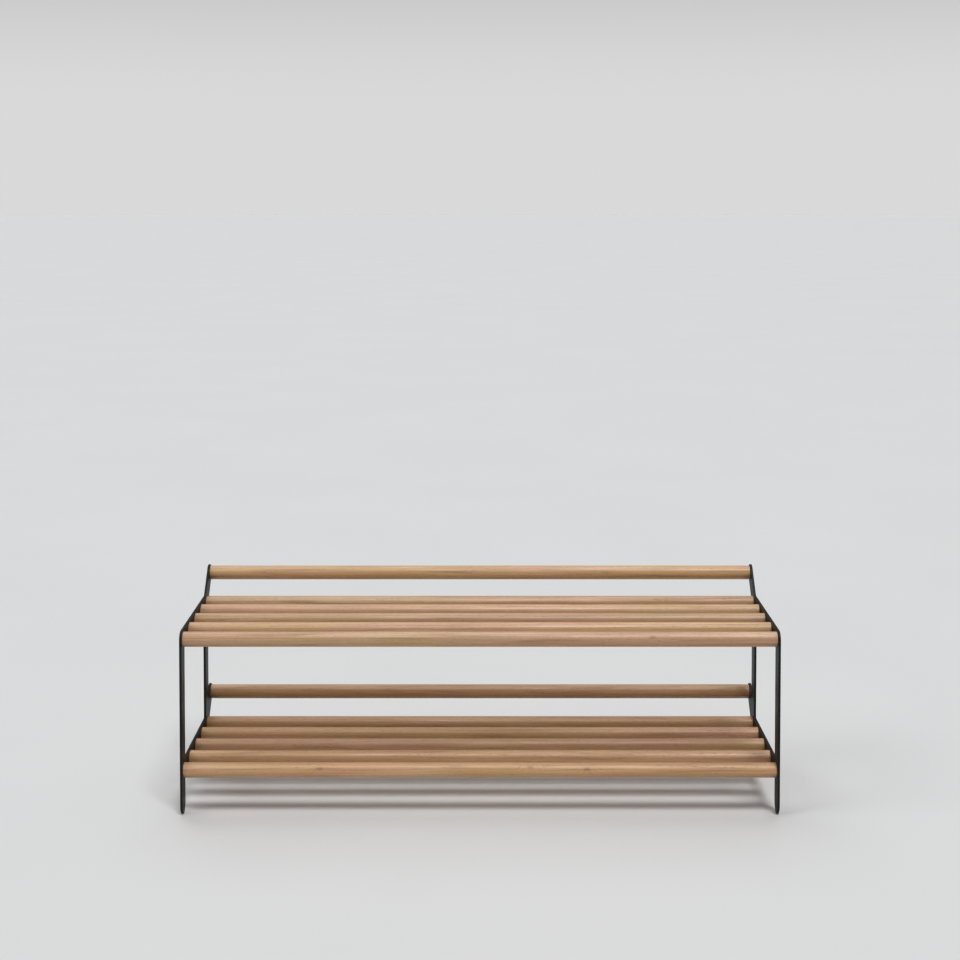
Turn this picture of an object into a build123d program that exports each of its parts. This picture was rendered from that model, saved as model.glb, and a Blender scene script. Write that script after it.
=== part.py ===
from build123d import *
import os
from math import cos, radians, sin

# Low entryway bench with a shoe shelf under the seat, in millimetres.
# The floor is z = 0, the front faces -Y and the length runs along X. The origin is the
# centre of the footprint. Each tier is five round rods laid front to back, with a sixth
# raised behind them as a low back rail. All of them hang between two flat side frames.

# Rods
rod_length = 1000.0
rod_diameter = 25.0
rod_chamfer = 1.0
rod_pitch = 61.75
rods_per_tier = 5
bore_depth = 20.0

# Side frames, each cut from one steel plate
strip_width = 30.0
plate_thickness = 4.0
inner_corner_radius = 4.0
edge_break = 0.4
arm_reach = 64.5
arm_angle = 45.0

# Heights of the rod centres above the floor
tier_heights = {"shelf": 73.5, "seat": 296.5}

# M6 countersunk screws
shank_diameter = 5.9
screw_length = 20.0
screw_tip_chamfer = 0.6
head_diameter = 12.0
head_rim = 0.3
socket_across_flats = 4.0
socket_depth = 2.5
clearance_diameter = 6.6
countersink_diameter = 12.8
countersink_angle = 90.0

# Threaded inserts that the screws turn into
insert_diameter = 10.0
insert_bore_diameter = 6.0
insert_length = 15.0
groove_count = 4
groove_width = 1.2
groove_depth = 0.6
fit_gap = 0.05

# Glides, bonded round the tips of the four legs
glide_thickness = 1.7
glide_sole = 1.5
glide_half_angle = 40.0
glide_end_radius = 0.5

# Derived sizes
strip_radius = strip_width / 2
frame_inner_x = rod_length / 2
frame_outer_x = frame_inner_x + plate_thickness
arm_run = arm_reach * cos(radians(arm_angle))
arm_rise = arm_reach * sin(radians(arm_angle))
tier_depth = rod_pitch * (rods_per_tier - 1)
overall_depth = tier_depth + arm_run + strip_width
front_rod_y = strip_radius - overall_depth / 2
rear_rod_y = front_rod_y + tier_depth
back_rail_y = rear_rod_y + arm_run
foot_height = glide_sole + strip_radius
cone_height = (head_diameter - shank_diameter) / 2
head_sink = (countersink_diameter - head_diameter) / 2 - head_rim - fit_gap
groove_pitch = insert_length / (groove_count + 1)

sides = {"left": -1, "right": 1}
foot_y = {"front": front_rod_y, "rear": rear_rod_y}


def rod_centres(tier):
    """(y, z) of a tier's six rods: five level ones from the front, then the back rail."""
    height = tier_heights[tier]
    level = [(front_rod_y + i * rod_pitch, height) for i in range(rods_per_tier)]
    return level + [(back_rail_y, height + arm_rise)]


def side_plane(side, y=0.0, z=0.0):
    """The plane of a side frame's inner face, with its own X to the back and Y up."""
    return Plane(origin=(side * frame_inner_x, y, z), x_dir=(0, 1, 0), z_dir=(1, 0, 0))


def end_planes(tier, side, x):
    """Planes at a tier's six rod ends, at a distance x from the middle and facing out."""
    return [Plane(origin=(side * x, y, z), z_dir=(side, 0, 0)) for y, z in rod_centres(tier)]


def make_rod(name, y, z):
    """A round wooden rod, its end edges eased, bored at both ends for the inserts."""
    ends = [
        Plane(origin=(side * frame_inner_x, y, z), z_dir=(side, 0, 0))
        for side in sides.values()
    ]
    with BuildPart() as rod:
        with BuildSketch(ends[0]):
            Circle(rod_diameter / 2)
        extrude(amount=-rod_length)
        chamfer(rod.edges().filter_by(GeomType.CIRCLE), length=rod_chamfer)
        with Locations(*ends):
            Hole(radius=insert_diameter / 2 + fit_gap, depth=bore_depth)
    rod.part.label = name
    export_step(rod.part, f"parts/{name}.step")


def strip(start, end):
    """One straight strip of a side frame, its round ends centred on two (y, z) points."""
    middle = ((start[0] + end[0]) / 2, (start[1] + end[1]) / 2)
    SlotCenterPoint(center=middle, point=end, height=strip_width)


def inner_corners(outline):
    """The outline's corners between two straight edges. They are all inner corners,
    because every outer corner of a side frame is round."""
    straight = outline.edges().filter_by(GeomType.LINE)
    return [
        corner
        for corner in outline.vertices()
        if sum(corner in edge.vertices() for edge in straight) == 2
    ]


def make_side_frame(name, side):
    """A flat plate with two legs, two rails and two upturned arms, countersunk from
    outside at every rod end."""
    with BuildPart() as frame:
        with BuildSketch(side_plane(side)) as outline:
            for y in foot_y.values():
                strip((y, foot_height), (y, tier_heights["seat"]))
            for height in tier_heights.values():
                strip((front_rod_y, height), (rear_rod_y, height))
                strip((rear_rod_y, height), (back_rail_y, height + arm_rise))
            fillet(inner_corners(outline), radius=inner_corner_radius)
        extrude(amount=side * plate_thickness)
        broad_faces = frame.faces().filter_by(Axis.X)
        chamfer(broad_faces.edges(), length=edge_break)
        for tier in tier_heights:
            with Locations(*end_planes(tier, side, frame_outer_x)):
                CounterSinkHole(
                    radius=clearance_diameter / 2,
                    counter_sink_radius=countersink_diameter / 2,
                    depth=plate_thickness,
                    counter_sink_angle=countersink_angle,
                )
    frame.part.label = name
    export_step(frame.part, f"parts/{name}.step")


def make_screw():
    """A countersunk hexagon-socket screw, the top of its head at z = 0 and facing +Z."""
    head_radius = head_diameter / 2
    shank_radius = shank_diameter / 2
    with BuildPart() as screw:
        with BuildSketch(Plane.XZ):
            with BuildLine():
                Polyline(
                    (0, 0),
                    (head_radius, 0),
                    (head_radius, -head_rim),
                    (shank_radius, -head_rim - cone_height),
                    (shank_radius, -screw_length),
                    (0, -screw_length),
                    close=True,
                )
            make_face()
        revolve(axis=Axis.Z)
        chamfer(screw.edges().group_by(Axis.Z)[0], length=screw_tip_chamfer)
        with BuildSketch():
            RegularPolygon(radius=socket_across_flats / 2, side_count=6, major_radius=False)
        extrude(amount=-socket_depth, mode=Mode.SUBTRACT)
    return screw.part


def make_insert():
    """A threaded insert without its thread, its mouth at z = 0 and facing +Z, grooved
    round the outside where the wood grips it."""
    with BuildPart() as insert:
        with BuildSketch():
            Circle(insert_diameter / 2)
            Circle(insert_bore_diameter / 2, mode=Mode.SUBTRACT)
        extrude(amount=-insert_length)
        for i in range(groove_count):
            groove_top = -groove_pitch * (i + 1) + groove_width / 2
            with BuildSketch(Plane.XY.offset(groove_top)):
                Circle(insert_diameter / 2)
                Circle(insert_diameter / 2 - groove_depth, mode=Mode.SUBTRACT)
            extrude(amount=-groove_width, mode=Mode.SUBTRACT)
    return insert.part


def make_group(name, piece, planes):
    """Copies of one fastener, one on each plane."""
    with BuildPart() as group:
        with Locations(*planes):
            add(piece)
    group.part.label = name
    export_step(group.part, f"parts/{name}.step")


def make_glide(name, side, y):
    """A thin pad wrapped round the tip of one leg, with a short flat where it stands."""
    arc = (-90 - glide_half_angle, 2 * glide_half_angle)
    with BuildPart() as glide:
        with BuildSketch(side_plane(side, y, foot_height)) as pad:
            with BuildLine():
                inner = CenterArc((0, 0), strip_radius, *arc)
                outer = CenterArc((0, 0), strip_radius + glide_thickness, *arc)
                Line(inner @ 0, outer @ 0)
                Line(inner @ 1, outer @ 1)
            make_face()
            fillet(pad.vertices().group_by(Axis.Y)[0], radius=glide_end_radius)
            with Locations((0, -foot_height)):
                Rectangle(
                    strip_width,
                    strip_width,
                    align=(Align.CENTER, Align.MAX),
                    mode=Mode.SUBTRACT,
                )
        extrude(amount=side * plate_thickness)
    glide.part.label = name
    export_step(glide.part, f"parts/{name}.step")


os.makedirs("parts", exist_ok=True)

screw = make_screw()
insert = make_insert()

for tier in tier_heights:
    *level_rods, back_rail = rod_centres(tier)
    for number, (y, z) in enumerate(level_rods, start=1):
        make_rod(f"{tier}_rod_{number}", y, z)
    make_rod(f"{tier}_back_rail", *back_rail)

for side_name, side in sides.items():
    make_side_frame(f"side_frame_{side_name}", side)
    for tier in tier_heights:
        screw_planes = end_planes(tier, side, frame_outer_x - head_sink)
        make_group(f"{tier}_screws_{side_name}", screw, screw_planes)
        insert_planes = end_planes(tier, side, frame_inner_x)
        make_group(f"{tier}_inserts_{side_name}", insert, insert_planes)
    for foot_name, y in foot_y.items():
        make_glide(f"foot_glide_{foot_name}_{side_name}", side, y)
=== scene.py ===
import math
import random

import bmesh
import bpy
from mathutils import Matrix, Vector


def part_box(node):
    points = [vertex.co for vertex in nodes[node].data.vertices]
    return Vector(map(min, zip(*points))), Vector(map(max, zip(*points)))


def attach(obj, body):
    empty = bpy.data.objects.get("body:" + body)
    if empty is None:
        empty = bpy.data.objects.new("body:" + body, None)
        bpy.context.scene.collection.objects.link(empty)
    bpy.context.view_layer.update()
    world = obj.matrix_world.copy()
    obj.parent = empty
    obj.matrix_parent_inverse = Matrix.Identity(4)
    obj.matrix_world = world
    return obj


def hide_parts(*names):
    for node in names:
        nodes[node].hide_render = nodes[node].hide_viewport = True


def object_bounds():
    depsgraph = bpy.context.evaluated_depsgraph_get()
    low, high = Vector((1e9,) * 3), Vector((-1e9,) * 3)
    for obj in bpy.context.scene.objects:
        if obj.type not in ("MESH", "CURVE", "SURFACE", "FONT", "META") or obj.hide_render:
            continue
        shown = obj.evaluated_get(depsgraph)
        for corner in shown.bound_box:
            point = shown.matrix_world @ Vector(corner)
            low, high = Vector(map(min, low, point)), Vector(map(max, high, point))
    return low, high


# Looks of the entryway bench: oiled oak rods between two powder-coated steel side frames.
# Sizes are in metres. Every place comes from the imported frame's boxes.

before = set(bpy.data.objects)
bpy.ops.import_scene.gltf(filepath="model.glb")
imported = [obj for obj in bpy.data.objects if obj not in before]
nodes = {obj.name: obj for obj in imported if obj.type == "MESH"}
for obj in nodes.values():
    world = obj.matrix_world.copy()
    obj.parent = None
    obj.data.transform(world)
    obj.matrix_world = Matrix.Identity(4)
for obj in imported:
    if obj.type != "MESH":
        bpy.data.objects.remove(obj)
cad_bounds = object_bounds()

# The parts, as the frame names them
TIERS = ("seat", "shelf")
SIDES = {"left": -1, "right": 1}
RODS_PER_TIER = 5

# Rods
ROD_SEGMENTS = 96
ROD_ROWS = 48
ROD_EDGE = 0.001
BORE_RADIUS = 0.00505
BORE_DEPTH = 0.020
BORE_EDGE = 0.0003

# Side frames. The slack keeps their arcs inside the CAD's, which are made of short chords.
PLATE_EDGE = 0.0005
PLATE_SLACK = 0.00002
INNER_CORNER_RADIUS = 0.004
ARC_STEP = math.radians(5)
EDGE_STEPS = 4
HOLE_SEGMENTS = 64
CLEARANCE_RADIUS = 0.0033
COUNTERSINK_RADIUS = 0.0064
HOLE_EDGE = 0.0002
COUNTERSINK_EDGE = 0.0001
# How much wear and painted sheen lighten the holes' walls
HOLE_WEAR_AND_SHEEN = 0.4

# Countersunk socket screws
SCREW_SEGMENTS = 48
SCREW_LENGTH = 0.020
SCREW_TIP = 0.0006
SHANK_RADIUS = 0.00295
HEAD_RADIUS = 0.006
HEAD_RIM = 0.0003
SOCKET_FLAT = 0.002
SOCKET_DEPTH = 0.0025
SOCKET_EDGE = 0.0002
SOCKET_POINT = 0.0006
SOCKET_POINT_RADIUS = 0.0002
THREAD_PITCH = 0.001
THREAD_DEPTH = 0.0004
THREAD_ROWS_PER_TURN = 4

# Glides
GLIDE_THICKNESS = 0.0017
GLIDE_STEPS = 40

# The log that each rod was sawn from: where along it, how far from the pith, and the
# usual slope of the grain
WOOD_SEED = 7
LOG_PLACES = (0, 40)
PITH_DISTANCES = (0.055, 0.13)
GRAIN_SLOPE = math.radians(0.6)
RING_WIDTH = 0.0036

# Knots: the rod, how far along it from the left, and how far round it from the top
KNOTS = (
    ("shelf_rod_1", 0.23, -62),
    ("shelf_rod_1", 0.585, -48),
    ("shelf_rod_1", 0.68, -66),
    ("seat_rod_1", 0.79, -58),
    ("seat_rod_3", 0.36, 150),
)
KNOT_RADIUS = 0.0046
KNOT_CORE = 0.0005
SWELLING_RADIUS = 0.012
SWELLING_HEIGHT = 0.0075

# How light each rod is, from the front rod to the back rail: the wood's own tone, which differs
# from rod to rod, and painted shade, which darkens the shelf's last rod and its rail under the
# seat.
ROD_TONES_AND_SHADE = {
    "seat": (0.97, 1.08, 0.91, 1.05, 0.93, 1.10),
    "shelf": (1.02, 0.97, 0.95, 1.01, 0.90, 0.87),
}

# Each tier's share of red, green and blue. The shelf's redder tint is painted shade: it stands for
# the deeper, warmer shade under the seat, where light bounces between the rods.
TIER_SHADE_TINTS = {"seat": (1.0, 1.0, 1.0), "shelf": (1.0, 0.94, 0.88)}

# Colours
OAK_YELLOW = (0.546, 0.351, 0.162, 1.0)
OAK_PINK = (0.562, 0.323, 0.197, 1.0)
OAK_EARLY = (0.420, 0.244, 0.122, 1.0)
OAK_LATE = (0.485, 0.289, 0.150, 1.0)
OAK_STREAK = (0.350, 0.193, 0.094, 1.0)
OAK_PALE = (0.705, 0.505, 0.328, 1.0)
OAK_PORE = (0.200, 0.100, 0.048, 1.0)
OAK_KNOT = (0.190, 0.090, 0.041, 1.0)
COAT_DEEP = (0.0070, 0.0075, 0.0075, 1.0)
COAT_LIGHT = (0.0098, 0.0103, 0.0102, 1.0)
COAT_SPECKLE = (0.018, 0.019, 0.019, 1.0)
# The coat's lighter edges: wear and a painted sheen
COAT_WORN_SHEEN = (0.028, 0.029, 0.029, 1.0)
ZINC_DEEP = (0.050, 0.050, 0.053, 1.0)
ZINC_LIGHT = (0.100, 0.098, 0.095, 1.0)
BRASS_BRIGHT = (0.78, 0.58, 0.26, 1.0)
BRASS_DULL = (0.60, 0.42, 0.19, 1.0)
RUBBER_BLACK = (0.010, 0.010, 0.010, 1.0)
RUBBER_SCUFFED = (0.075, 0.073, 0.070, 1.0)
FLOOR_DEEP = (0.675, 0.680, 0.685, 1.0)
FLOOR_LIGHT = (0.685, 0.690, 0.695, 1.0)

# Camera, at the photograph's viewing angle
CAMERA_DISTANCE = 2.794
CAMERA_HEIGHT = 1.059
CAMERA_LENS = 63.22
CAMERA_SENSOR = 36.0
CAMERA_PITCH = math.radians(2.3)
CAMERA_SHIFT = -0.236

# Stage and light. A softbox's width is in degrees. The surround fades from the horizon's
# light to the sky's between two heights, which are the sines of angles above the horizon.
FLOOR_RADIUS = 60.0
FLOOR_SEGMENTS = 96
SOFTBOXES = {
    "key": {"towards": (0.17, -0.46, 1.0), "width": 19, "strength": 1.69},
    "left": {"towards": (-1.0, -0.35, 0.9), "width": 30, "strength": 0.52},
    "overhead": {"towards": (-0.1, 0.5, 1.0), "width": 45, "strength": 1.01},
}
HORIZON_STRENGTH = 0.72
HORIZON_TOP = 0.04
SKY_STRENGTH = 0.18
SKY_BOTTOM = 0.30
VIEW_GAMMA = 0.9


def centre(node):
    """The middle of a CAD node's box."""
    low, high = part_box(node)
    return (low + high) / 2


def tier_rods(tier):
    """A tier's rod nodes from the front, with its back rail last."""
    return [f"{tier}_rod_{i + 1}" for i in range(RODS_PER_TIER)] + [f"{tier}_back_rail"]


def strip_half():
    """Half the width of the side frames' strips, a hair inside the CAD's."""
    low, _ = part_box("side_frame_left")
    return centre("seat_rod_1").y - low.y - PLATE_SLACK


# ---------------------------------------------------------------- mesh building


def quarter_turn():
    """Angles over a quarter turn, for a rounded edge."""
    return [math.pi / 2 * i / EDGE_STEPS for i in range(EDGE_STEPS + 1)]


def turned_ring(middle, side, along, radius, segments):
    """A ring round an axis along X. The radius is a number, or a function of the angle."""
    points = []
    for i in range(segments):
        angle = side * 2 * math.pi * i / segments
        reach = radius(angle) if callable(radius) else radius
        offset = Vector((side * along, reach * math.cos(angle), reach * math.sin(angle)))
        points.append(middle + offset)
    return points


def add_wall(bm, rows):
    """Faces between each row of vertices and the next, all the way round."""
    for row, following in zip(rows, rows[1:]):
        for i, vertex in enumerate(row):
            j = (i + 1) % len(row)
            bm.faces.new((vertex, row[j], following[j], following[i]))


def add_skin(bm, rings):
    """Joins rings of points, all of one length, into a skin closed by a flat cap at each
    end."""
    rows = [[bm.verts.new(point) for point in ring] for ring in rings]
    add_wall(bm, rows)
    bm.faces.new(reversed(rows[0]))
    bm.faces.new(rows[-1])


def finish_mesh(name, bm, smooth_angle=math.radians(35)):
    """Turns a bmesh into an object that rides on the frame, smooth except at its edges."""
    bmesh.ops.recalc_face_normals(bm, faces=bm.faces)
    mesh = bpy.data.meshes.new(name)
    bm.to_mesh(mesh)
    bm.free()
    mesh.shade_smooth()
    mesh.set_sharp_from_angle(angle=smooth_angle)
    piece = bpy.data.objects.new(name, mesh)
    bpy.context.scene.collection.objects.link(piece)
    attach(piece, "root")
    return piece


def dress(piece, material, slot_name, *replaced):
    """Gives a piece its material and hides the CAD nodes it stands for. Its slot name is not used.
    """
    piece.data.materials.append(material)
    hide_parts(*replaced)


def dress_kept_nodes(material, names):
    """CAD nodes whose shape is right keep it, and get a finished material."""
    for name in names:
        slots = nodes[name].data.materials
        slots.clear()
        slots.append(material)


# ---------------------------------------------------------------- shader nodes


def new_material(name):
    """A node material, its tree and its Principled shader."""
    material = bpy.data.materials.new(name)
    material.use_nodes = True
    return material, material.node_tree, material.node_tree.nodes["Principled BSDF"]


def set_input(tree, socket, value):
    """Feeds a socket from another node's output, or sets it to a value."""
    if isinstance(value, bpy.types.NodeSocket):
        tree.links.new(value, socket)
    else:
        socket.default_value = value


def add_node(tree, kind, inputs=None, **settings):
    """Adds a node with its settings. An input is a value, or the output that feeds it."""
    made = tree.nodes.new(kind)
    for key, value in settings.items():
        setattr(made, key, value)
    for key, value in (inputs or {}).items():
        set_input(tree, made.inputs[key], value)
    return made


def calculate(tree, operation, *values):
    """The output of a Math node."""
    inputs = dict(enumerate(values))
    return add_node(tree, "ShaderNodeMath", inputs, operation=operation).outputs[0]


def vector_maths(tree, operation, first, second):
    """The vector output of a Vector Math node."""
    made = add_node(tree, "ShaderNodeVectorMath", {0: first, 1: second}, operation=operation)
    return made.outputs["Vector"]


def length(tree, vector):
    """The length of a vector."""
    made = add_node(tree, "ShaderNodeVectorMath", {0: vector}, operation="LENGTH")
    return made.outputs["Value"]


def stretched_noise(tree, coordinates, stretch, detail=3.0, roughness=0.5):
    """Noise whose waves per metre along each axis are given by stretch."""
    scaled = vector_maths(tree, "MULTIPLY", coordinates, stretch)
    made = add_node(
        tree,
        "ShaderNodeTexNoise",
        {"Vector": scaled, "Scale": 1.0, "Detail": detail, "Roughness": roughness},
    )
    return made.outputs["Fac"]


def even_noise(tree, coordinates, frequency, detail=3.0, roughness=0.5):
    """Noise with the same waves per metre along every axis."""
    return stretched_noise(tree, coordinates, (frequency,) * 3, detail, roughness)


def stretched_cells(tree, coordinates, stretch):
    """Distance to the nearest of scattered points, with that many per metre on each axis."""
    scaled = vector_maths(tree, "MULTIPLY", coordinates, stretch)
    made = add_node(tree, "ShaderNodeTexVoronoi", {"Vector": scaled, "Scale": 1.0})
    return made.outputs["Distance"]


def band(tree, value, low, high, out_low=0.0, out_high=1.0):
    """Maps a value from low..high to out_low..out_high smoothly, and holds it outside."""
    made = add_node(
        tree,
        "ShaderNodeMapRange",
        {"Value": value, "From Min": low, "From Max": high, "To Min": out_low, "To Max": out_high},
        interpolation_type="SMOOTHSTEP",
    )
    return made.outputs["Result"]


def mixed(tree, factor, first, second, blend="MIX"):
    """The colour output of a Mix node, whose colour sockets are 6, 7 and output 2."""
    inputs = {0: factor, 6: first, 7: second}
    made = add_node(tree, "ShaderNodeMix", data_type="RGBA", blend_type=blend)
    for index, value in inputs.items():
        set_input(tree, made.inputs[index], value)
    return made.outputs[2]


def bumped(tree, height, distance, strength, normal=None):
    """A Bump node's normal, for a height from 0 to 1 over a distance in metres."""
    inputs = {"Height": height, "Distance": distance, "Strength": strength}
    if normal is not None:
        inputs["Normal"] = normal
    return add_node(tree, "ShaderNodeBump", inputs).outputs["Normal"]


def attribute(tree, name, output):
    """A stored point attribute."""
    return add_node(tree, "ShaderNodeAttribute", attribute_name=name).outputs[output]


def object_place(tree):
    """Places on the piece in metres. Every piece sits at the origin, so they are the
    frame's own."""
    return add_node(tree, "ShaderNodeTexCoord").outputs["Object"]


# ---------------------------------------------------------------- materials


def nearest_knot(tree, place):
    """The distance in metres from a place to the nearest knot's middle. Distances along the
    rod count as half, so that knots come out as ovals."""
    nearest = None
    for rod, along, round_angle in KNOTS:
        low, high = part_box(rod)
        radius = (high.z - low.z) / 2
        angle = math.radians(round_angle)
        knot = centre(rod) + Vector((0, radius * math.sin(angle), radius * math.cos(angle)))
        knot.x = low.x + along * (high.x - low.x)
        offset = vector_maths(tree, "SUBTRACT", place, knot)
        distance = length(tree, vector_maths(tree, "MULTIPLY", offset, (0.5, 1.0, 1.0)))
        nearest = distance if nearest is None else calculate(tree, "MINIMUM", nearest, distance)
    return nearest


def ring_place(tree, log, knot_distance):
    """How far through its growth ring a place is, from 0 to 1. The rings wave along the log
    and swell round the knots."""
    wave = stretched_noise(tree, log, (1.7, 9.0, 9.0), detail=2.0)
    ripple = stretched_noise(tree, log, (9.0, 60.0, 60.0), detail=2.0)
    swelling = band(tree, knot_distance, 0.0, SWELLING_RADIUS, SWELLING_HEIGHT, 0.0)
    pith_distance = length(tree, vector_maths(tree, "MULTIPLY", log, (0.0, 1.0, 1.0)))
    waved = calculate(tree, "MULTIPLY_ADD", wave, 0.016, pith_distance)
    rippled = calculate(tree, "MULTIPLY_ADD", ripple, 0.0022, waved)
    swollen = calculate(tree, "ADD", rippled, swelling)
    return calculate(tree, "FRACT", calculate(tree, "DIVIDE", swollen, RING_WIDTH))


def make_oak():
    """Oiled oak, straight in the grain. Its figure is cut from a log by the point attribute
    'log': x runs along the log and the pith is at y = z = 0."""
    material, tree, shader = new_material("oiled_oak")
    log = attribute(tree, "log", "Vector")
    knot_distance = nearest_knot(tree, object_place(tree))
    knot = band(tree, knot_distance, KNOT_CORE, KNOT_RADIUS, 1.0, 0.0)
    ring = ring_place(tree, log, knot_distance)
    early_wood = band(tree, ring, 0.0, 0.34, 1.0, 0.0)
    late_wood = band(tree, ring, 0.45, 0.97)

    # Fibres, streaks, pores and ray flecks
    fibre = stretched_noise(tree, log, (16.0, 900.0, 900.0), detail=3.0, roughness=0.6)
    streak = stretched_noise(tree, log, (5.5, 190.0, 190.0), detail=3.0, roughness=0.55)
    broad = stretched_noise(tree, log, (2.6, 62.0, 62.0), detail=2.0)
    pore_distance = stretched_cells(tree, log, (95.0, 1500.0, 1500.0))
    pore_cover = calculate(tree, "MULTIPLY_ADD", early_wood, 0.20, 0.16)
    past_pore = calculate(tree, "SUBTRACT", pore_distance, pore_cover)
    pore = band(tree, past_pore, -0.06, 0.03, 1.0, 0.0)
    fleck_distance = stretched_cells(tree, log, (60.0, 90.0, 700.0))
    fleck = band(tree, fleck_distance, 0.10, 0.20, 1.0, 0.0)

    # Colour: two tones of heartwood, then the rings, streaks, flecks, pores and knots
    drift = stretched_noise(tree, log, (2.2, 26.0, 26.0), detail=2.0)
    heartwood = mixed(tree, band(tree, drift, 0.40, 0.60), OAK_YELLOW, OAK_PINK)
    paler = mixed(tree, band(tree, broad, 0.50, 0.72, 0.0, 0.50), heartwood, OAK_PALE)
    deeper = mixed(tree, band(tree, broad, 0.28, 0.48, 0.45, 0.0), paler, OAK_EARLY)
    ringed = mixed(tree, calculate(tree, "MULTIPLY", early_wood, 0.40), deeper, OAK_EARLY)
    shaded = mixed(tree, calculate(tree, "MULTIPLY", late_wood, 0.20), ringed, OAK_LATE)
    streaked = mixed(tree, band(tree, streak, 0.52, 0.74, 0.0, 0.70), shaded, OAK_STREAK)
    lightened = mixed(tree, band(tree, streak, 0.26, 0.44, 0.50, 0.0), streaked, OAK_PALE)
    fibrous = mixed(tree, band(tree, fibre, 0.35, 0.70, 0.0, 0.30), lightened, OAK_STREAK)
    flecked = mixed(tree, calculate(tree, "MULTIPLY", fleck, 0.22), fibrous, OAK_PALE)
    pored = mixed(tree, calculate(tree, "MULTIPLY", pore, 0.55), flecked, OAK_PORE)
    knotted = mixed(tree, calculate(tree, "MULTIPLY", knot, 0.55), pored, OAK_KNOT)
    # Each rod's tone: partly the wood's own, partly painted shade, which makes the shelf redder
    # and darker towards its back.
    toned_and_shaded = mixed(tree, 1.0, knotted, attribute(tree, "tone_and_shade", "Color"), "MULTIPLY")
    tree.links.new(toned_and_shaded, shader.inputs["Base Color"])

    # Satin oil finish, duller in the pores
    satin = band(tree, streak, 0.3, 0.7, 0.43, 0.52)
    dulled = calculate(tree, "MULTIPLY_ADD", pore, 0.22, satin)
    tree.links.new(dulled, shader.inputs["Roughness"])
    shader.inputs["Specular IOR Level"].default_value = 1.0
    relief = calculate(tree, "MULTIPLY_ADD", pore, -0.8, fibre)
    tree.links.new(bumped(tree, relief, 0.00012, 0.5), shader.inputs["Normal"])
    return material


def make_powder_coat():
    """Near-black powder coat with a fine texture, a little smoother and greyer on the edges:
    partly rubbed wear, partly a painted sheen along the arrises. The point attribute 'edge' says
    where those are."""
    material, tree, shader = new_material("black_powder_coat")
    place = object_place(tree)
    edge = attribute(tree, "edge", "Fac")
    grit = even_noise(tree, place, 1400.0, detail=2.0)
    peel = even_noise(tree, place, 330.0, detail=2.0)
    cloud = even_noise(tree, place, 9.0)
    base = mixed(tree, band(tree, cloud, 0.3, 0.7), COAT_DEEP, COAT_LIGHT)
    speckled = mixed(tree, band(tree, grit, 0.55, 0.80, 0.0, 0.5), base, COAT_SPECKLE)
    # Lighter, smoother coat along the arrises and in the holes: rubbed wear and a painted sheen.
    rub_and_sheen = calculate(tree, "MULTIPLY", edge, band(tree, peel, 0.35, 0.70, 0.25, 0.75))
    tree.links.new(mixed(tree, rub_and_sheen, speckled, COAT_WORN_SHEEN), shader.inputs["Base Color"])
    matt = band(tree, grit, 0.3, 0.7, 0.43, 0.55)
    tree.links.new(calculate(tree, "MULTIPLY_ADD", rub_and_sheen, -0.10, matt), shader.inputs["Roughness"])
    coarse = bumped(tree, peel, 0.00008, 0.5)
    tree.links.new(bumped(tree, grit, 0.00003, 0.6, coarse), shader.inputs["Normal"])
    shader.inputs["Specular IOR Level"].default_value = 0.25
    return material


def make_black_zinc():
    """Black zinc on steel, unevenly tarnished."""
    material, tree, shader = new_material("black_zinc")
    place = object_place(tree)
    tarnish = even_noise(tree, place, 420.0)
    brushed = stretched_noise(tree, place, (3000.0, 500.0, 500.0), detail=2.0)
    colour = mixed(tree, band(tree, tarnish, 0.35, 0.7), ZINC_DEEP, ZINC_LIGHT)
    tree.links.new(colour, shader.inputs["Base Color"])
    tree.links.new(band(tree, tarnish, 0.3, 0.7, 0.30, 0.46), shader.inputs["Roughness"])
    tree.links.new(bumped(tree, brushed, 0.00001, 0.5), shader.inputs["Normal"])
    shader.inputs["Metallic"].default_value = 0.85
    return material


def make_brass():
    """Turned brass, a little dull."""
    material, tree, shader = new_material("turned_brass")
    place = object_place(tree)
    dulling = even_noise(tree, place, 260.0)
    turning = stretched_noise(tree, place, (5000.0, 40.0, 40.0), detail=1.0)
    colour = mixed(tree, band(tree, dulling, 0.35, 0.7), BRASS_BRIGHT, BRASS_DULL)
    tree.links.new(colour, shader.inputs["Base Color"])
    tree.links.new(band(tree, turning, 0.3, 0.7, 0.22, 0.38), shader.inputs["Roughness"])
    tree.links.new(bumped(tree, turning, 0.00002, 0.5), shader.inputs["Normal"])
    shader.inputs["Metallic"].default_value = 1.0
    return material


def make_rubber():
    """Black moulded rubber, scuffed grey where it meets the floor."""
    material, tree, shader = new_material("black_rubber")
    place = object_place(tree)
    dust = even_noise(tree, place, 700.0, detail=4.0, roughness=0.65)
    height = add_node(tree, "ShaderNodeSeparateXYZ", {0: place}).outputs["Z"]
    low_down = band(tree, height, 0.0, 0.002, 1.0, 0.0)
    scuff = calculate(tree, "MULTIPLY", low_down, band(tree, dust, 0.45, 0.65, 0.0, 0.8))
    colour = mixed(tree, scuff, RUBBER_BLACK, RUBBER_SCUFFED)
    tree.links.new(colour, shader.inputs["Base Color"])
    tree.links.new(band(tree, dust, 0.3, 0.7, 0.62, 0.82), shader.inputs["Roughness"])
    tree.links.new(bumped(tree, dust, 0.00005, 0.4), shader.inputs["Normal"])
    return material


def make_floor_paint():
    """Plain pale paint, very slightly clouded."""
    material, tree, shader = new_material("pale_floor")
    cloud = even_noise(tree, object_place(tree), 1.5)
    colour = mixed(tree, band(tree, cloud, 0.3, 0.7), FLOOR_DEEP, FLOOR_LIGHT)
    tree.links.new(colour, shader.inputs["Base Color"])
    shader.inputs["Roughness"].default_value = 0.75
    shader.inputs["Specular IOR Level"].default_value = 0.2
    return material


# ---------------------------------------------------------------- rods


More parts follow.
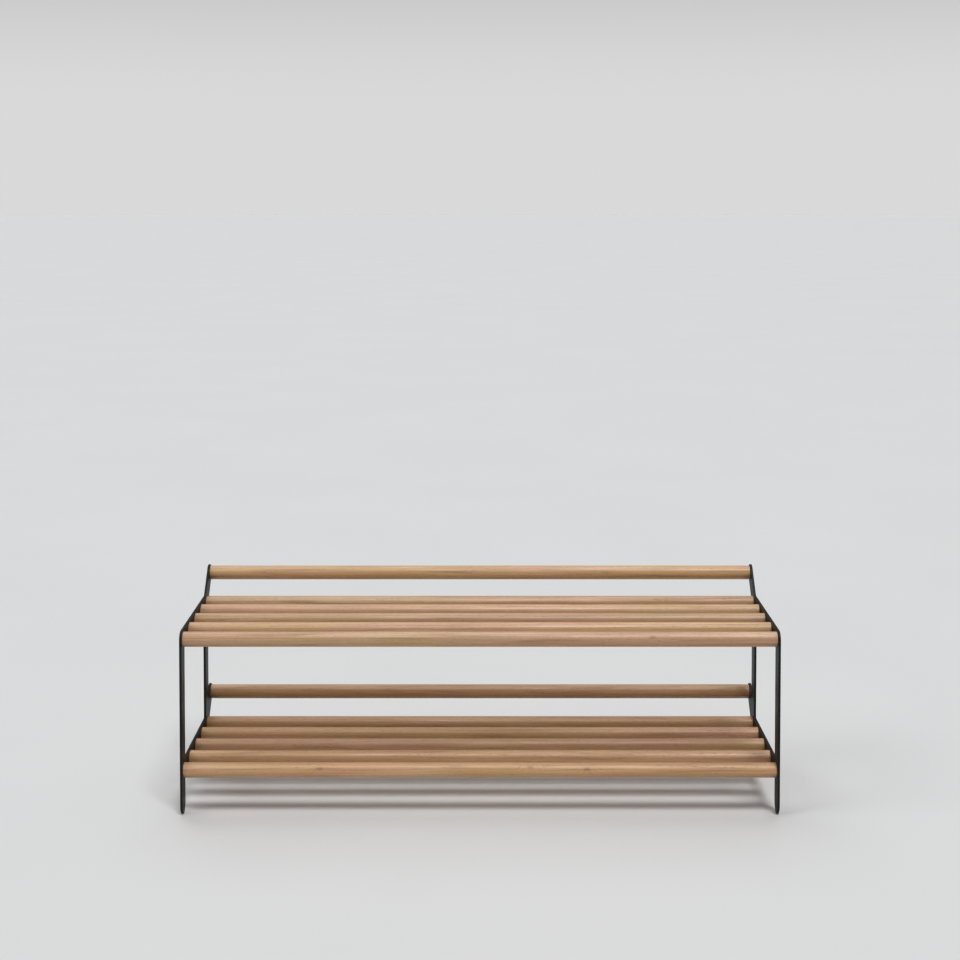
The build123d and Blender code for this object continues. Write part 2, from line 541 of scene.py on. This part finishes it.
def rod_profile(half_length, radius):
    """(x, radius) from the bottom of the left bore, round the eased edges, to the right."""
    eased = [
        (half_length - ROD_EDGE * (1 - math.cos(t)), radius - ROD_EDGE * (1 - math.sin(t)))
        for t in quarter_turn()
    ]
    right = [
        *reversed(eased),
        (half_length, BORE_RADIUS + BORE_EDGE),
        (half_length - BORE_EDGE, BORE_RADIUS),
        (half_length - BORE_DEPTH, BORE_RADIUS),
    ]
    left = [(-x, r) for x, r in reversed(right)]
    body_end = half_length - ROD_EDGE
    body = [(-body_end + 2 * body_end * i / ROD_ROWS, radius) for i in range(1, ROD_ROWS)]
    return left + body + right


def write_wood(mesh, middle, tone_and_shade, chance):
    """Stores the rod's colour factor, its wood tone with painted shade on the shelf, and each
    point's place in the log
    that the rod was sawn from: its own distance from the pith, its own turn and a slight slope to
    the grain."""
    turn = Matrix.Rotation(chance.uniform(0, 2 * math.pi), 3, "X")
    slope = Matrix.Rotation(chance.gauss(0, GRAIN_SLOPE), 3, "Z")
    pith_offset = Vector((chance.uniform(*LOG_PLACES), chance.uniform(*PITH_DISTANCES), 0))
    places = mesh.attributes.new("log", "FLOAT_VECTOR", "POINT")
    for vertex, place in zip(mesh.vertices, places.data):
        place.vector = slope @ turn @ (vertex.co - middle) + pith_offset
    tone_and_shade_points = mesh.attributes.new("tone_and_shade", "FLOAT_VECTOR", "POINT")
    for point in tone_and_shade_points.data:
        point.vector = tone_and_shade


def make_rod(node, material, tone_and_shade, chance):
    """One oak rod with eased ends, bored for its inserts."""
    low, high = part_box(node)
    middle = (low + high) / 2
    profile = rod_profile((high.x - low.x) / 2, (high.z - low.z) / 2)
    bm = bmesh.new()
    add_skin(bm, [turned_ring(middle, 1, x, radius, ROD_SEGMENTS) for x, radius in profile])
    rod = finish_mesh(f"oak_{node}", bm)
    write_wood(rod.data, middle, tone_and_shade, chance)
    dress(rod, material, "oak", node)


# ---------------------------------------------------------------- side frames


def arc_corner(previous, corner, following, radius):
    """Points with their outward normals round one corner of an anticlockwise outline."""
    back = (previous - corner).normalized()
    ahead = (following - corner).normalized()
    half_angle = back.angle(ahead) / 2
    pivot = corner + (back + ahead).normalized() * (radius / math.sin(half_angle))
    start = corner + back * (radius / math.tan(half_angle)) - pivot
    outward = 1 if back.cross(ahead) < 0 else -1
    sweep = outward * (math.pi - 2 * half_angle)
    steps = max(2, math.ceil(abs(sweep) / ARC_STEP))
    points = []
    for i in range(steps + 1):
        spoke = Matrix.Rotation(sweep * i / steps, 2) @ start
        points.append((pivot + spoke, spoke.normalized() * outward))
    return points


def rounded_outline(corners):
    """An outline's points and outward normals, from its corners and their radii. Where two
    arcs meet, the point they share is kept once."""
    outline = []
    for i, (corner, radius) in enumerate(corners):
        previous = corners[i - 1][0]
        following = corners[(i + 1) % len(corners)][0]
        for point, normal in arc_corner(previous, corner, following, radius):
            if not outline or (point - outline[-1][0]).length > 1e-6:
                outline.append((point, normal))
    if (outline[0][0] - outline[-1][0]).length < 1e-6:
        outline.pop()
    return outline


def frame_corners():
    """The corners of a side frame's outline and of its window in the YZ plane, with their
    radii, worked out from the rods and the plate's own box."""
    low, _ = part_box("side_frame_left")
    seat, shelf, rail = (centre(node) for node in ("seat_rod_1", "shelf_rod_1", "seat_back_rail"))
    front, rear = seat.y, centre(f"seat_rod_{RODS_PER_TIER}").y
    half = strip_half()
    tight = INNER_CORNER_RADIUS
    arm = Vector((rail.y - rear, rail.z - seat.z))
    along = arm.normalized()
    across = Vector((-along.y, along.x))

    def arm_tip(height):
        """The two corners that round off the tip of the arm at a tier's height."""
        tip = Vector((rear, height)) + arm
        return [(tip + (along - across) * half, half), (tip + (along + across) * half, half)]

    def arm_meets(height, edge, axis, value):
        """Where the lower (-1) or upper (1) edge of that arm reaches a value on an axis."""
        start = Vector((rear, height)) + across * half * edge
        return start + along * ((value - start[axis]) / along[axis]), tight

    outline = [
        (Vector((front - half, low.z)), half),
        (Vector((front + half, low.z)), half),
        (Vector((front + half, shelf.z - half)), tight),
        (Vector((rear - half, shelf.z - half)), tight),
        (Vector((rear - half, low.z)), half),
        (Vector((rear + half, low.z)), half),
        arm_meets(shelf.z, -1, 0, rear + half),
        *arm_tip(shelf.z),
        arm_meets(shelf.z, 1, 0, rear + half),
        arm_meets(seat.z, -1, 0, rear + half),
        *arm_tip(seat.z),
        arm_meets(seat.z, 1, 1, seat.z + half),
        (Vector((front - half, seat.z + half)), half),
    ]
    window = [
        (Vector((front + half, shelf.z + half)), tight),
        (Vector((rear - half, shelf.z + half)), tight),
        (Vector((rear - half, seat.z - half)), tight),
        (Vector((front + half, seat.z - half)), tight),
    ]
    return outline, window


def edge_profile(thickness):
    """(depth from the inner face, inset, wear and painted sheen) across the plate's edge, its two
    arrises rounded. The wear and painted sheen are highest halfway round each arris."""
    near = [
        (PLATE_EDGE * (1 - math.sin(t)), PLATE_EDGE * (1 - math.cos(t)), math.sin(2 * t))
        for t in reversed(quarter_turn())
    ]
    far = [(thickness - depth, inset, wear_and_sheen) for depth, inset, wear_and_sheen in reversed(near)]
    return near + far


def hole_profile(thickness):
    """(depth from the inner face, radius, wear and painted sheen) down a countersunk hole."""
    cone = COUNTERSINK_RADIUS - CLEARANCE_RADIUS
    return [
        (0.0, CLEARANCE_RADIUS + HOLE_EDGE, 0.0),
        (HOLE_EDGE, CLEARANCE_RADIUS, HOLE_WEAR_AND_SHEEN),
        (thickness - cone, CLEARANCE_RADIUS, HOLE_WEAR_AND_SHEEN),
        (thickness - COUNTERSINK_EDGE, COUNTERSINK_RADIUS - COUNTERSINK_EDGE, HOLE_WEAR_AND_SHEEN),
        (thickness, COUNTERSINK_RADIUS + COUNTERSINK_EDGE, 0.0),
    ]


def add_wear_and_sheen_row(bm, points, wear_and_sheen_layer, wear_and_sheen):
    """A row of vertices that all have the same wear and painted sheen."""
    row = [bm.verts.new(point) for point in points]
    for vertex in row:
        vertex[wear_and_sheen_layer] = wear_and_sheen
    return row


def fill_face(bm, loops, normal):
    """Fills a flat face between its outline and the loops inside it."""
    edges = []
    for row in loops:
        for i, vertex in enumerate(row):
            edges.append(bm.edges.get((vertex, row[(i + 1) % len(row)])))
    bmesh.ops.triangle_fill(bm, edges=edges, use_beauty=True, normal=normal)


def make_side_frame(side_name, material):
    """A flat plate with rounded arrises and a countersunk hole at each rod end."""
    side = SIDES[side_name]
    node = f"side_frame_{side_name}"
    low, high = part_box(node)
    inner_x = low.x if side > 0 else high.x
    thickness = high.x - low.x
    bm = bmesh.new()
    wear_and_sheen_layer = bm.verts.layers.float.new("edge")
    walls = []

    for corners, inward in zip(frame_corners(), (1, -1)):
        loop = rounded_outline(corners)
        rows = []
        for depth, inset, wear_and_sheen in edge_profile(thickness):
            flat_points = [point - normal * inset * inward for point, normal in loop]
            points = [(inner_x + side * depth, y, z) for y, z in flat_points]
            rows.append(add_wear_and_sheen_row(bm, points, wear_and_sheen_layer, wear_and_sheen))
        walls.append(rows)

    for rod in (rod for tier in TIERS for rod in tier_rods(tier)):
        middle = centre(rod)
        middle.x = inner_x
        rows = []
        for depth, radius, wear_and_sheen in hole_profile(thickness):
            points = turned_ring(middle, side, depth, radius, HOLE_SEGMENTS)
            rows.append(add_wear_and_sheen_row(bm, points, wear_and_sheen_layer, wear_and_sheen))
        walls.append(rows)

    for rows in walls:
        add_wall(bm, rows)
    for end in (0, -1):
        fill_face(bm, [rows[end] for rows in walls], (side, 0, 0))
    plate = finish_mesh(f"steel_{node}", bm)
    flat_faces = plate.modifiers.new("flat_faces", "WEIGHTED_NORMAL")
    flat_faces.keep_sharp = True
    dress(plate, material, "black_steel", node)


# ---------------------------------------------------------------- screws and glides


def socket_radius(across_half):
    """The radius of a hexagon with that half width across flats, as a function of angle."""
    sixth = math.pi / 3
    return lambda angle: across_half / math.cos((angle + sixth / 2) % sixth - sixth / 2)


def thread_radius(along):
    """The radius of a helical thread at one place along the screw, as a function of angle."""

    def radius(angle):
        turn = (along / THREAD_PITCH + angle / (2 * math.pi)) % 1
        return SHANK_RADIUS - THREAD_DEPTH * abs(2 * turn - 1)

    return radius


def screw_profile():
    """(distance out from the head's face, radius) from the bottom of the socket, over the
    head and down the threaded shank."""
    under_head = -HEAD_RIM - (HEAD_RADIUS - SHANK_RADIUS)
    profile = [
        (-SOCKET_DEPTH - SOCKET_POINT, SOCKET_POINT_RADIUS),
        (-SOCKET_DEPTH, socket_radius(SOCKET_FLAT)),
        (-SOCKET_EDGE, socket_radius(SOCKET_FLAT)),
        (0.0, socket_radius(SOCKET_FLAT + SOCKET_EDGE)),
        (0.0, HEAD_RADIUS - SOCKET_EDGE),
        (-SOCKET_EDGE / 2, HEAD_RADIUS),
        (-HEAD_RIM, HEAD_RADIUS),
        (under_head, SHANK_RADIUS),
        (under_head - THREAD_PITCH, SHANK_RADIUS),
    ]
    row_height = THREAD_PITCH / THREAD_ROWS_PER_TURN
    thread_start = under_head - THREAD_PITCH - row_height
    thread_end = -SCREW_LENGTH + SCREW_TIP
    rows = round((thread_start - thread_end) / row_height)
    for i in range(rows + 1):
        along = thread_start + (thread_end - thread_start) * i / rows
        profile.append((along, thread_radius(along)))
    profile.append((-SCREW_LENGTH, SHANK_RADIUS - SCREW_TIP))
    return profile


def make_screws(tier, side_name, material):
    """Six countersunk socket screws, one at each rod end."""
    node = f"{tier}_screws_{side_name}"
    side = SIDES[side_name]
    low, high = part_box(node)
    profile = screw_profile()
    bm = bmesh.new()
    for rod in tier_rods(tier):
        middle = centre(rod)
        middle.x = high.x if side > 0 else low.x
        rings = [
            turned_ring(middle, side, along, radius, SCREW_SEGMENTS) for along, radius in profile
        ]
        add_skin(bm, rings)
    screws = finish_mesh(f"steel_{node}", bm)
    dress(screws, material, "black_screws", node)


def glide_ring(pivot, angle, half_x, inner, outer):
    """One cross-section of a glide, at an angle round the foot from straight down. The edges
    that face the floor are rounded."""
    edge = min(PLATE_EDGE, (outer - inner) / 2)
    right = [
        (half_x - edge * (1 - math.cos(t)), outer - edge * (1 - math.sin(t)))
        for t in quarter_turn()
    ]
    left = [(-x, reach) for x, reach in reversed(right)]
    section = [(half_x, inner), *right, *left, (-half_x, inner)]
    return [
        pivot + Vector((x, reach * math.sin(angle), -reach * math.cos(angle)))
        for x, reach in section
    ]


def make_glide(node, material):
    """A rubber pad wrapped under one foot, with a flat sole and its ends thinned away."""
    low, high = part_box(node)
    plate_low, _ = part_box("side_frame_left")
    inner = strip_half()
    pivot = centre(node)
    pivot.z = plate_low.z + inner
    last_angle = math.acos((pivot.z - high.z) / inner)
    rings = []
    for i in range(GLIDE_STEPS + 1):
        share = 2 * i / GLIDE_STEPS - 1
        angle = last_angle * share
        thickness = max(GLIDE_THICKNESS * math.cos(math.pi / 2 * share), PLATE_SLACK)
        outer = min(inner + thickness, (pivot.z - low.z) / math.cos(angle))
        rings.append(glide_ring(pivot, angle, (high.x - low.x) / 2, inner, outer))
    bm = bmesh.new()
    add_skin(bm, rings)
    glide = finish_mesh(f"rubber_{node}", bm)
    dress(glide, material, "black_rubber", node)


# ---------------------------------------------------------------- stage


def make_floor():
    """A wide round floor, level with the feet."""
    bm = bmesh.new()
    bmesh.ops.create_circle(bm, cap_ends=True, radius=FLOOR_RADIUS, segments=FLOOR_SEGMENTS)
    mesh = bpy.data.meshes.new("floor")
    bm.to_mesh(mesh)
    bm.free()
    mesh.materials.append(make_floor_paint())
    floor = bpy.data.objects.new("floor", mesh)
    floor.location.z = cad_bounds[0].z
    bpy.context.scene.collection.objects.link(floor)


def add_softbox(name, towards, width, strength):
    """A far round softbox: its direction, how many degrees wide it looks, and its light in
    watts per square metre."""
    lamp = bpy.data.lights.new(name, "SUN")
    lamp.angle = math.radians(width)
    lamp.energy = strength
    softbox = bpy.data.objects.new(name, lamp)
    softbox.rotation_euler = Vector(towards).to_track_quat("Z", "Y").to_euler()
    bpy.context.scene.collection.objects.link(softbox)


def make_surround():
    """A grey surround, lighter towards the horizon."""
    world = bpy.data.worlds.new("studio")
    world.use_nodes = True
    tree = world.node_tree
    direction = add_node(tree, "ShaderNodeTexCoord").outputs["Generated"]
    height = add_node(tree, "ShaderNodeSeparateXYZ", {0: direction}).outputs["Z"]
    strength = band(tree, height, HORIZON_TOP, SKY_BOTTOM, HORIZON_STRENGTH, SKY_STRENGTH)
    background = tree.nodes["Background"]
    background.inputs["Color"].default_value = (1.0, 1.0, 1.0, 1.0)
    tree.links.new(strength, background.inputs["Strength"])
    bpy.context.scene.world = world


def make_lights():
    """The softboxes and the surround, shown without a film curve."""
    for name, settings in SOFTBOXES.items():
        add_softbox(f"{name}_light", **settings)
    make_surround()
    bpy.context.scene.view_settings.view_transform = "Standard"
    bpy.context.scene.view_settings.gamma = VIEW_GAMMA


def make_camera():
    """A nearly level camera in front of the bench, above it, with its frame shifted down."""
    lens = bpy.data.cameras.new("camera")
    lens.lens = CAMERA_LENS
    lens.sensor_width = CAMERA_SENSOR
    lens.shift_y = CAMERA_SHIFT
    camera = bpy.data.objects.new("camera", lens)
    front = cad_bounds[0].y
    camera.location = (0.0, front - CAMERA_DISTANCE, CAMERA_HEIGHT)
    camera.rotation_euler = (math.pi / 2 - CAMERA_PITCH, 0.0, 0.0)
    bpy.context.scene.collection.objects.link(camera)
    bpy.context.scene.camera = camera


make_camera()
make_lights()
make_floor()

oak = make_oak()
chance = random.Random(WOOD_SEED)
for tier in TIERS:
    # Each rod's tone is partly its wood's own and partly painted shade on the shelf's rear rods.
    for rod, tone_and_shade in zip(tier_rods(tier), ROD_TONES_AND_SHADE[tier]):
        # The tier's tint is painted shade on the shelf.
        make_rod(rod, oak, tone_and_shade * Vector(TIER_SHADE_TINTS[tier]), chance)

powder_coat = make_powder_coat()
black_zinc = make_black_zinc()
for side_name in SIDES:
    make_side_frame(side_name, powder_coat)
    for tier in TIERS:
        make_screws(tier, side_name, black_zinc)

rubber = make_rubber()
for name in nodes:
    if name.startswith("foot_glide_"):
        make_glide(name, rubber)
dress_kept_nodes(make_brass(), [name for name in nodes if "_inserts_" in name])
